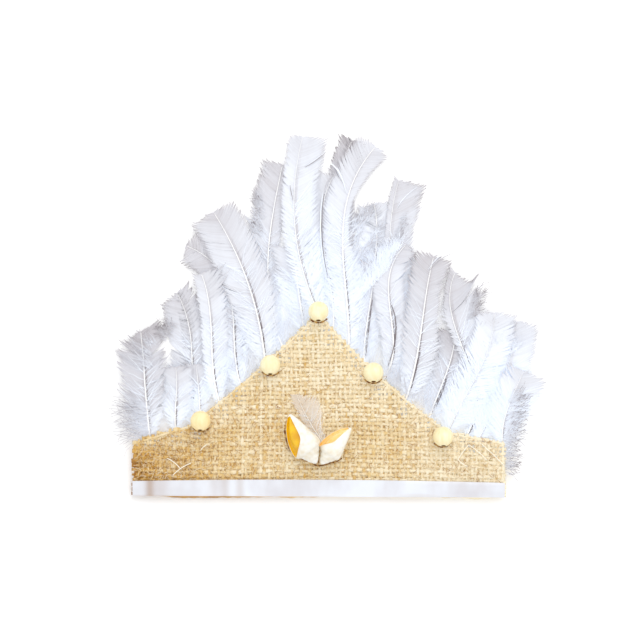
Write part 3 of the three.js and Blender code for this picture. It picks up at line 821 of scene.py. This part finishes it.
def makeTufts():
    strands = Strands()
    u = np.linspace(0, 1, 6)
    for first, last, heading, spread, length, count, tone, dark, number in tuftRows:
        tree = surfaceOf("feather_%02d" % number)
        share = rng.uniform(0, 1, (count, 1))
        start = np.array(first) * (1 - share) + np.array(last) * share + rng.normal(0, 1, (count, 2))
        turn = np.radians(heading + rng.normal(0, spread / 2, (count, 1)))
        run = length * rng.uniform(0.35, 1.1, count)
        ways = turn + rng.normal(0, 0.4, (count, 1)) * u
        ways = ways + rng.normal(0, tuft["wave"], (count, 1)) * np.sin(u * 7 + rng.uniform(0, 6, (count, 1)))
        steps = np.stack([np.sin(ways), np.cos(ways)], -1) * (run / len(u))[:, None, None]
        xy = start[:, None] + np.cumsum(steps, 1) - steps[:, :1]
        level = topsOf(tree, start)[:, None] + rng.uniform(-0.5, 1.3, (count, 1)) * u ** 0.5
        tones = tone + rng.normal(0, 0.12, (count, 1)) - dark * np.clip(u - 0.5, 0, 1) * 2
        width = tuft["width"] * np.interp(u, [0, 0.5, 1], [1, 0.9, 0.5])
        strands.lay(raised(xy, np.maximum(level, 0.3)), width, tuft["height"], tones)
    # streaks: dark ones painted shadow, light ones painted highlight
    for *points, width, tone, number in paintedStreakRows:
        xy = curveThrough(points, u)
        z = topsOf(surfaceOf("feather_%02d" % number), xy) + 0.5
        width = width * np.interp(u, [0, 0.5, 1], [0.5, 1, 0.4])
        strands.lay(raised(xy, z)[None], width, tuft["streakHeight"], tone, 5)
    return strands.mesh("plume_tufts")


settle(makeTufts(), "feather", None, vanePaint)
print("tufts laid")

# Small feather behind the shells

sprig = {
    "lean": -28, "bow": -0.03, "sway": 0, "left": 0.5, "right": 1.5, "cut": -0.5, "fan": 0,
    "open": 0.25, "down": 0.4, "tone": 0.7,
}
sprigSizes = {
    "reach": 29, "halfWidth": 8, "root": 5, "barbPitch": 0.36, "barbWidth": 0.4, "quillWidth": 0.45,
}
sprigPiece = plume("plume_small", "shell_feather", sprig, onPanel((0.004, 0.328)), sprigSizes)
sprigPaint = featherPaint("feather_small", linear(238, 230, 220), linear(224, 214, 202), 0.7, 0.38)
settle(sprigPiece, "feather", "shell_feather", sprigPaint, quillPaint)

# Ribbon along the brow

ribbon = {
    "width": 8.9,
    "arch": 1.2,
    "slant": 1.1,
    "lift": 0.6,
    "wall": 0.35,
    "columns": 200,
    "rows": 8,
    "wrinkle": 0.18,
    "hem": 0.16,
    # brown marks painted along the satin as reflections of the sacking: where, how wide, how strong
    "reflectionsAt": [
        (-101, 2.5, 0.6), (-94, 4, 0.2), (-63, 4, 0.2), (-56, 3, 0.35), (-47, 3, 0.4),
        (4, 7, 0.15), (60, 10, 0.15),
    ],
    "light": linear(228, 232, 240),
    "shade": linear(212, 211, 217),
    "reflectionBrown": linear(180, 160, 146),
}


def ribbonPaint():
    paint = Paint("satin")
    ribs = paint.noise(5200, (0.02, 1, 1), detail=2)
    clouds = paint.noise(55, (1, 0.5, 1))
    patches = paint.noise(24)
    colour = paint.mix(paint.band(clouds, 0.35, 0.62), ribbon["shade"], ribbon["light"])
    # painted reflections of the sacking, and a darker left end and lower edge, mixed towards brown
    reflectionAndDarkening = paint.attribute("reflectionAndDarkening") + (patches - 0.5) * 0.9 * paint.attribute("reflectionAndDarkening")
    colour = paint.mix(paint.band(reflectionAndDarkening, 0.15, 1), colour, ribbon["reflectionBrown"])
    bump = paint.bump(ribs, 0.25, 0.0001)
    return paint.finish(colour, 0.32, {"Normal": bump, "Sheen Weight": 0.3})


def makeRibbon():
    deselect()
    tree = surfaceOf("ribbon")
    bpy.ops.mesh.primitive_grid_add(x_subdivisions=ribbon["columns"], y_subdivisions=ribbon["rows"], size=1)
    piece = named("ribbon_satin")
    phases = rng.uniform(0, 6, 4)
    for vertex in piece.data.vertices:
        across, rise = vertex.co.x * 2, vertex.co.y + 0.5
        low = ribbon["lift"] - across * ribbon["slant"] / 2 - panel["bandRise"]
        x = across * panel["halfWidth"]
        y = low + rise * (ribbon["width"] + ribbon["arch"] * (1 - across ** 2))
        fold = math.sin(x / 3.1 + phases[0] + rise * 1.5) * math.sin(x / 17 + phases[1])
        fold = fold + 0.6 * math.sin(x / 7.7 + phases[2] - rise)
        hem = ribbon["hem"] * (abs(rise - 0.5) > 0.4)
        vertex.co = Vector((x, y, topOf(tree, x, y) + ribbon["wrinkle"] * fold + hem)) * mm
    # painted reflections of the sacking at the listed marks; the left end and the lower edge are darkened too
    reflectionAndDarkening = piece.data.attributes.new("reflectionAndDarkening", "FLOAT", "POINT")
    for vertex, item in zip(piece.data.vertices, reflectionAndDarkening.data):
        x, rise = vertex.co.x / mm, vertex.co.y / mm + panel["bandRise"]
        marks = (size * math.exp(-((x - at) / spread) ** 2) for at, spread, size in ribbon["reflectionsAt"])
        item.value = sum(marks)
        item.value += 0.2 * within((-x - 20) / 60) + 0.15 * (rise < 1.6)
    return thicken(piece, ribbon["wall"], -1)


ribbonPiece = settle(makeRibbon(), "ribbon", "ribbon", ribbonPaint())
print("ribbon laid")

# Elastic behind the brow

elastic = {
    "length": 215,
    "width": 10,
    "wall": 0.7,
    "sections": 86,
    "ribs": 7,
    "ribRise": 0.12,
    "colour": linear(240, 238, 234),
    # painted shade of the grooves, in darker stripes across the weave
    "grooveShade": linear(200, 196, 190),
}


def makeElastic():
    deselect()
    low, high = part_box("elastic_band")
    rows = elastic["ribs"] * 2
    bpy.ops.mesh.primitive_grid_add(
        x_subdivisions=elastic["sections"], y_subdivisions=rows, size=1, location=(low + high) / 2
    )
    piece = named("elastic_woven")
    piece.scale = (elastic["length"] * mm, elastic["width"] * mm, 1)
    bpy.ops.object.transform_apply()
    step = elastic["width"] * mm / rows
    for vertex in piece.data.vertices:
        row = round((vertex.co.y - low.y) / step)
        vertex.co.z -= elastic["ribRise"] * mm * (row % 2)
    return thicken(piece, elastic["wall"], 0)


def elasticPaint():
    paint = Paint("elastic")
    weft = paint.noise(2400, (1, 0.1, 1))
    # darker stripes across the weave: painted shade of its grooves
    colour = paint.mix(paint.band(weft, 0.35, 0.65), elastic["grooveShade"], elastic["colour"])
    return paint.finish(colour, 0.8, {"Normal": paint.bump(weft, 0.4, 0.0002)})


elasticPiece = settle(makeElastic(), "elastic", "elastic_band", elasticPaint())
print("elastic laid")

# Beads

bead = {
    "count": 5,
    "honeyOne": 4,
    "radius": 6,
    "segments": 40,
    "rings": 28,
    "bore": 1.5,
    "tilt": 24,
    "light": linear(248, 242, 206),
    "grain": linear(242, 222, 168),
    "honey": linear(249, 234, 186),
    "honeyGrain": linear(243, 216, 154),
    # painted shade: the inside of the bore is dark
    "boreShade": linear(150, 104, 50),
}


def beadPaint(name, light, grain):
    paint = Paint(name)
    rings = paint.noise(520, (1, 0.25, 1), 0.4)
    clouds = paint.noise(120)
    colour = paint.mix(paint.band(rings * 0.6 + clouds * 0.4, 0.35, 0.68), light, grain)
    bump = paint.bump(rings, 0.15, 0.0002)
    return paint.finish(colour, 0.42, {"Normal": bump, "Coat Weight": 0.15})


def makeBead(number):
    deselect()
    low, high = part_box("bead_%d" % number)
    centre = (low + high) / 2
    radius = bead["radius"] * mm
    bpy.ops.mesh.primitive_uv_sphere_add(segments=bead["segments"], ring_count=bead["rings"], radius=radius)
    piece = named("bead_turned_%d" % number)
    mode("EDIT")
    cut = math.sqrt(bead["radius"] ** 2 - bead["bore"] ** 2) * mm
    for sign in (1, -1):
        pick("SELECT")
        bpy.ops.mesh.bisect(plane_co=(0, 0, sign * cut), plane_no=(0, 0, sign), clear_outer=True)
    bpy.ops.mesh.select_mode(type="EDGE")
    pick("DESELECT")
    bpy.ops.mesh.select_non_manifold()
    bpy.ops.mesh.bridge_edge_loops()
    mode("OBJECT")
    for face in piece.data.polygons:
        inBore = abs(face.normal.z) < 0.1 and face.center.xy.length < bead["bore"] * 1.05 * mm
        face.material_index = int(inBore)
    piece.data.transform(Matrix.Translation(centre) @ Matrix.Rotation(math.radians(90 - bead["tilt"]), 4, "X"))
    mode("EDIT")
    pick("SELECT")
    bpy.ops.mesh.normals_make_consistent(inside=False)
    mode("OBJECT")
    bpy.ops.object.shade_smooth_by_angle(angle=math.radians(45))
    return piece


# the bore's inside gets a dark paint of its own, painted shade in the hole
boreShadePaint = beadPaint("bead_bore", bead["boreShade"], bead["boreShade"])
woodPaint = beadPaint("bead_wood", bead["light"], bead["grain"])
honeyPaint = beadPaint("bead_honey", bead["honey"], bead["honeyGrain"])
for number in range(1, bead["count"] + 1):
    paint = honeyPaint if number == bead["honeyOne"] else woodPaint
    settle(makeBead(number), "wood", "bead_%d" % number, paint, boreShadePaint)
print("beads turned")

# Shells

shell = {
    "length": 32,
    "halfWidth": 8.5,
    "sides": 40,
    "depthShare": 0.82,
    "knobs": 9,
    "knobRise": 0.05,
    "knobPitch": 0.105,
    "knobHalf": 0.05,
    "tilt": 0.16,
    "mouthAt": 0.34,
    "mouthSpan": (0.02, 0.72),
    "closesAt": 0.42,
    "closesOver": 0.32,
    "closing": 0.8,
    "flare": 3,
    "white": linear(240, 238, 230),
    "cream": linear(228, 217, 194),
    "mouths": {
        "left": (linear(246, 200, 10), linear(226, 168, 4)),
        "right": (linear(255, 228, 164), linear(248, 194, 88)),
    },
}
shellProfile = [
    (0, 0.06), (0.03, 0.13), (0.08, 0.23), (0.14, 0.33), (0.2, 0.42), (0.27, 0.51), (0.34, 0.6),
    (0.41, 0.69), (0.48, 0.78), (0.55, 0.87), (0.61, 0.94), (0.67, 0.98), (0.71, 0.98), (0.74, 0.92),
    (0.755, 0.8), (0.775, 0.72), (0.8, 0.68), (0.83, 0.64), (0.845, 0.56), (0.86, 0.5), (0.885, 0.47),
    (0.91, 0.42), (0.925, 0.34), (0.94, 0.29), (0.96, 0.25), (0.975, 0.18), (0.99, 0.1), (1, 0.03),
]
# The lip, in two steps, and the inside of the mouth: how far each step goes out, in millimetres, and its size
shellLip = [(0.35, 1.02), (-0.05, 0.94), (-0.8, 0.95), (-1.3, 0.9), (-1, 0.8)]
shellRows = [
    {"name": "left", "mouth": (-0.154, 0.457), "spire": (-0.01, 0.192), "roll": 25, "opening": (12, 110)},
    {"name": "right", "mouth": (0.174, 0.382), "spire": (0.013, 0.187), "roll": 50, "opening": (38, 112)},
]


def shellPaint():
    paint = Paint("shell_white")
    growth = paint.noise(330, (1, 1, 1), 0.5)
    clouds = paint.noise(90)
    colour = paint.mix(paint.band(growth * 0.6 + clouds * 0.4, 0.42, 0.66), shell["white"], shell["cream"])
    bump = paint.bump(growth, 0.2, 0.0002)
    return paint.finish(colour, 0.3, {"Normal": bump, "Coat Weight": 0.25})


def mouthPaint(side):
    paint = Paint("shell_mouth_" + side)
    clouds = paint.noise(160)
    colour = paint.mix(paint.band(clouds, 0.35, 0.65), *shell["mouths"][side])
    return paint.finish(colour, 0.22, {"Coat Weight": 0.3})


# Draws a mouth of this width together by the given share, and spreads the rest of the ring to fill
def mouthTurn(angle, width, share):
    angle = angle % (2 * math.pi)
    if angle < width:
        return angle * share
    return width * share + (angle - width) * (2 * math.pi - width * share) / (2 * math.pi - width)


def makeShell(row):
    deselect()
    node = "shell_" + row["name"]
    mouth, spire = onPanel(row["mouth"]), onPanel(row["spire"])
    size = float(np.linalg.norm(spire - mouth)) / shell["length"]
    length, halfWidth = shell["length"] * size * mm, shell["halfWidth"] * size * mm
    radius = shellProfile[0][1] * halfWidth
    bpy.ops.mesh.primitive_circle_add(
        vertices=shell["sides"], radius=radius, fill_type="NGON", rotation=(math.pi / 2, 0, 0)
    )
    piece = named("sea_shell_" + row["name"])
    bpy.ops.object.transform_apply()
    mode("EDIT")
    pick("SELECT")
    for (before, girthBefore), (along, girth) in zip(shellProfile, shellProfile[1:]):
        bpy.ops.mesh.extrude_region_move(TRANSFORM_OT_translate={"value": (0, (along - before) * length, 0)})
        ratio = girth / girthBefore
        bpy.ops.transform.resize(value=(ratio, ratio, ratio), center_override=(0, along * length, 0))
    pick("SELECT")
    bpy.ops.mesh.normals_make_consistent(inside=False)
    bpy.ops.mesh.select_mode(type="FACE")
    pick("DESELECT")
    shape = bmesh.from_edit_mesh(piece.data)
    low, high = (math.radians(angle) for angle in row["opening"])
    for face in shape.faces:
        centre = face.calc_center_median()
        angle = math.atan2(centre.z, centre.x)
        along = centre.y / length
        face.select_set(shell["mouthSpan"][0] < along < shell["mouthSpan"][1] and low < angle < high)
    bmesh.update_edit_mesh(piece.data)
    outward = Vector((math.cos((low + high) / 2), 0, math.sin((low + high) / 2)))
    centre = outward * 0.6 * halfWidth + Vector((0, shell["mouthAt"] * length, 0))
    piece.data.materials.append(whitePaint)
    piece.data.materials.append(mouthPaint(row["name"]))
    for out, shrink in shellLip:
        bpy.ops.mesh.extrude_region_move(TRANSFORM_OT_translate={"value": outward * out * size * mm})
        bpy.ops.transform.resize(value=(shrink, 0.5 + shrink / 2, shrink), center_override=centre)
    for _ in range(len(shellLip) - 2):
        bpy.ops.mesh.select_more()
    piece.active_material_index = 1
    bpy.ops.object.material_slot_assign()
    mode("OBJECT")
    for vertex in piece.data.vertices:
        along = vertex.co.y / length
        angle = math.atan2(vertex.co.z, vertex.co.x)
        closed = within((along - shell["closesAt"]) / shell["closesOver"]) ** 1.6
        girth = math.hypot(vertex.co.x, vertex.co.z)
        angle = mouthTurn(angle - low, high - low, 1 - shell["closing"] * closed) + low
        vertex.co.x, vertex.co.z = girth * math.cos(angle), girth * math.sin(angle)
        ring = max(0, 1 - abs(along % shell["knobPitch"] - shell["knobHalf"]) / shell["knobHalf"])
        knob = 1 + shell["knobRise"] * math.cos(shell["knobs"] * angle) * ring * (along > 0.5)
        vertex.co.x *= knob
        vertex.co.z *= knob * shell["depthShare"]
        vertex.co.y += shell["tilt"] * vertex.co.x * within((along - 0.45) / 0.2)
        toMouth = max(0, math.cos(angle - low)) ** 2
        flare = shell["flare"] * size * mm * toMouth * math.sin(math.pi * within(along / 0.78)) ** 0.8
        vertex.co += flare * Vector((math.cos(angle), 0, math.sin(angle)))
    angle = math.atan2(mouth[0] - spire[0], spire[1] - mouth[1])
    turn = Matrix.Rotation(angle, 4, "Z") @ Matrix.Rotation(math.radians(row["roll"]), 4, "Y")
    piece.data.transform(Matrix.Translation((mouth[0] * mm, mouth[1] * mm, 0)) @ turn)
    lowest = min(vertex.co.z for vertex in piece.data.vertices)
    piece.data.transform(Matrix.Translation((0, 0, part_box(node)[0].z - lowest)))
    smooth = piece.modifiers.new("smooth", "SUBSURF")
    smooth.levels = smooth.render_levels = 1
    bpy.ops.object.modifier_apply(modifier="smooth")
    bpy.ops.object.shade_smooth()
    return piece


whitePaint = shellPaint()
for row in shellRows:
    settle(makeShell(row), "shell", "shell_" + row["name"])
print("shells made")

# Loose strands of jute on the cloth: long pale ones and short hairs, and dark strands under the shells and
# beads, which are painted contact shadow

loose = {
    "width": 0.5,
    "contactShadowWidth": 0.8,
    "strand": linear(255, 250, 234),
    "contactShadow": linear(116, 66, 14),
    "underBead": (222, 322),
    "beadReach": 6.7,
    "beadShadowTone": -0.5,
    "hairs": 4000,
    "hairLength": (1.2, 6),
    "hairWidth": 0.2,
}
# Strands: start, middle, end, tone; those with a tone below 0 are painted contact shadow by the shells
looseRows = [
    [(-90.6, 11.7), (-86, 9), (-82.5, 5.1), 1.3],
    [(-87.3, 1.5), (-82, 6), (-76.5, 8.7), 1.3],
    [(-70.5, 16.5), (-69, 18.4), (-66.9, 19.8), 1.3],
    [(83.6, 11.2), (86.6, 15.8), (90, 19.9), 1.3],
    [(90, 19.9), (95.6, 15.6), (100.9, 10.5), 1.3],
    [(83.6, 11.2), (86, 8.6), (89.3, 6.8), 1.4],
    [(97, 20.8), (104, 14.4), (111, 7.5), 1.3],
    [(-20.4, 31.5), (-19.7, 24), (-17.1, 16.8), -0.5],
    [(-17.2, 16.6), (-12, 12), (-4, 9.4), -0.6],
    [(-4, 9.4), (0, 7), (7, 8.8), -0.6],
    [(7, 8.8), (10.5, 9.4), (14, 11.6), -0.5],
    [(0.2, 21), (-0.4, 15), (0.1, 8.5), -0.7],
]


def makeLoose():
    strands = Strands()
    tree = surfaceOf("front_panel")
    u = np.linspace(0, 1, 12)

    # a pale strand arches over the cloth; a dark one lies flat on it, painted contact shadow
    def strand(xy, tone):
        pale = tone > 0
        z = topsOf(tree, xy) + (0.5 + 0.5 * np.sin(u * math.pi) if pale else 0.2)
        width = loose["width"] if pale else loose["contactShadowWidth"] * (1 + wander(u * 12, 1.5, 4, 0.4))
        tone = tone + wander(u * 12, 2, 5, 0.3 if pale else 0.5)
        strands.lay(raised(xy, z)[None], width, width, tone, 5, 1)

    for *points, tone in looseRows:
        strand(curveThrough(points, u), tone)
    # painted contact shadow: a dark arc under each bead
    for number in range(1, bead["count"] + 1):
        low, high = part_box("bead_%d" % number)
        turns = np.radians(loose["underBead"][0] * (1 - u) + loose["underBead"][1] * u)
        centre = np.array((low + high)[:2]) / 2 / mm
        strand(centre + loose["beadReach"] * np.stack([np.cos(turns), np.sin(turns)], 1), loose["beadShadowTone"])
    for _ in range(loose["hairs"]):
        x = rng.uniform(-108, 108)
        y = rng.uniform(-2, float(edgeRise(x)) - 14)
        turn, length = rng.uniform(0, 2 * math.pi), rng.uniform(*loose["hairLength"])
        v = np.linspace(0, 1, 4)
        turns = turn + rng.normal(0, 0.9) * v
        xy = np.array([x, y]) + np.cumsum(np.stack([np.cos(turns), np.sin(turns)], 1), 0) * length / 4
        z = topsOf(tree, xy) - 0.3 + rng.uniform(0, 0.9) * np.sin(v * math.pi)
        burnt = rng.uniform(0, 1) < 0.1 + 0.2 * within((-x - 20) / 70)
        tone = rng.uniform(-0.9, -0.2) if burnt else rng.uniform(0.4, 1)
        strands.lay(raised(xy, z)[None], loose["hairWidth"], loose["hairWidth"], tone)
    return strands.mesh("loose_strands")


hairPaint = sackingPaint("sacking_hair", sacking, 0)
# The strands' darkest colour is the painted contact shadow
strandPaint = sackingPaint("sacking_strand", {**sacking, "pale": loose["strand"], "burnt": loose["contactShadow"]}, 0)
settle(makeLoose(), "sacking", None, hairPaint, strandPaint)
print("loose strands laid")

# Floor


def makeFloor():
    deselect()
    bpy.ops.mesh.primitive_plane_add(size=studio["floorSize"], location=(0, 0, -studio["floorDrop"]))
    floor = named("floor")
    bpy.ops.object.transform_apply()
    paint = Paint("floor_white")
    grain = paint.noise(40)
    colour = paint.mix(grain, linear(252, 252, 252), linear(255, 255, 255))
    floor.data.materials.append(paint.finish(colour, 0.9, {}))


makeFloor()
